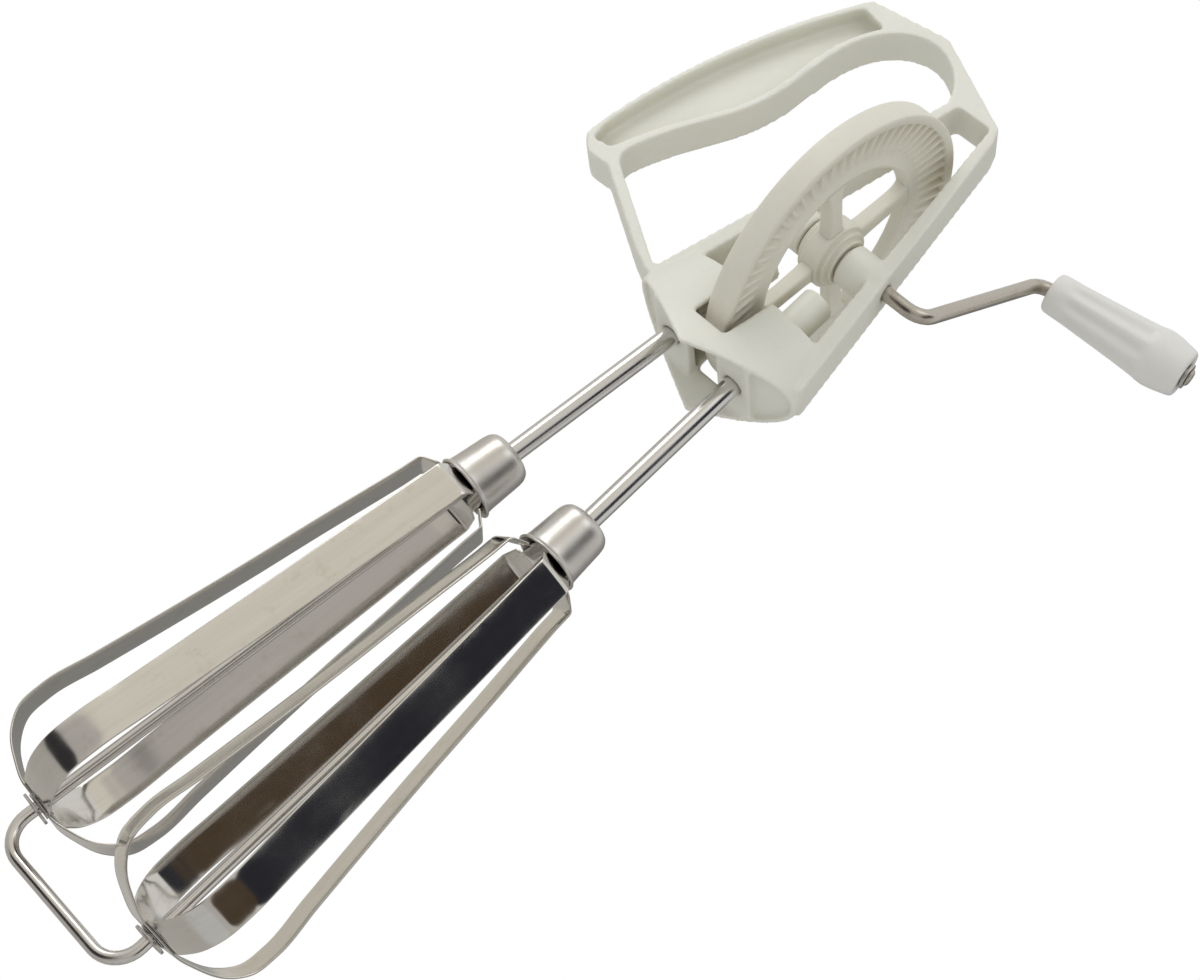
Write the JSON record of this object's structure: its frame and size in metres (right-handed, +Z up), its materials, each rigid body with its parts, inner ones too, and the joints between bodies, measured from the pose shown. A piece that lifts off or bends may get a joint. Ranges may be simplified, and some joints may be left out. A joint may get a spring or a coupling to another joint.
{
  "type": "rotary egg beater",
  "caption": "Hand-cranked rotary egg beater: a D-grip plastic frame with a crown-gear wheel, a bent-rod crank and paired counter-rotating steel strip beaters on a U-shaped foot wire.",
  "frame": {"origin": "under the middle of the foot wire, where the tool stands on the bottom of a bowl", "axes": "+Z up from the foot wire to the head of the D grip, +X towards the crank, +Y to the back; the beater axes and the frame plate lie in the plane Y = 0"},
  "size_m": [0.1515, 0.0846, 0.3184],
  "materials": {
    "frame_plastic": "moulded off-white plastic, satin to gloss",
    "wheel_plastic": "moulded warm ivory plastic, satin",
    "crank_grip_plastic": "moulded cool white plastic, gloss",
    "gear_nylon": "natural nylon, matte",
    "strip_steel": "bright rolled stainless strip",
    "plated_steel": "nickel-plated steel, bright with light wear",
    "rod_steel": "bright nickel-plated drawn rod",
    "small_metal": "zinc-plated pressed steel"
  },
  "bodies": {
    "frame": {"body_frame": "frame_plastic", "wire_frame": "rod_steel", "left_stop_washer": "small_metal", "right_stop_washer": "small_metal"},
    "wheel_and_crank": {"drive_wheel": "wheel_plastic", "crank_rod": "rod_steel", "hub_cross_pin": "small_metal", "spindle_push_nut": "small_metal", "left_hub_washer": "small_metal", "right_hub_washer": "small_metal", "crank_grip_washer": "small_metal"},
    "left_beater": {"left_pinion": "gear_nylon", "left_shaft_tube": "plated_steel", "left_collar": "plated_steel", "left_ferrule": "small_metal", "left_strip_outer": "strip_steel", "left_strip_inner": "strip_steel", "left_eyelet": "small_metal", "left_thrust_washer": "gear_nylon"},
    "right_beater": {"right_pinion": "gear_nylon", "right_shaft_tube": "plated_steel", "right_collar": "plated_steel", "right_ferrule": "small_metal", "right_strip_outer": "strip_steel", "right_strip_inner": "strip_steel", "right_eyelet": "small_metal", "right_thrust_washer": "gear_nylon"},
    "grip_of_crank": {"crank_grip": "crank_grip_plastic"}
  },
  "joints": [
    {"name": "crank_turn", "type": "hinge", "parent": "frame", "child": "wheel_and_crank", "pos_m": [0, 0, 0.2495], "axis": [1, 0, 0], "continuous": true},
    {"name": "left_beater_turn", "type": "hinge", "parent": "frame", "child": "left_beater", "pos_m": [-0.0217, 0, 0.0132], "axis": [0.0569, 0, 0.9984], "continuous": true},
    {"name": "right_beater_turn", "type": "hinge", "parent": "frame", "child": "right_beater", "pos_m": [0.0217, 0, 0.0132], "axis": [-0.0569, 0, 0.9984], "continuous": true},
    {"name": "crank_grip_turn", "type": "hinge", "parent": "wheel_and_crank", "child": "grip_of_crank", "pos_m": [0.0337, 0.0273, 0.2943], "axis": [0.9877, 0.0814, 0.1336], "continuous": true}
  ],
  "couplings": [
    {"joint": "left_beater_turn", "follows": "crank_turn", "ratio": 4.5714},
    {"joint": "right_beater_turn", "follows": "crank_turn", "ratio": -4.5714}
  ]
}
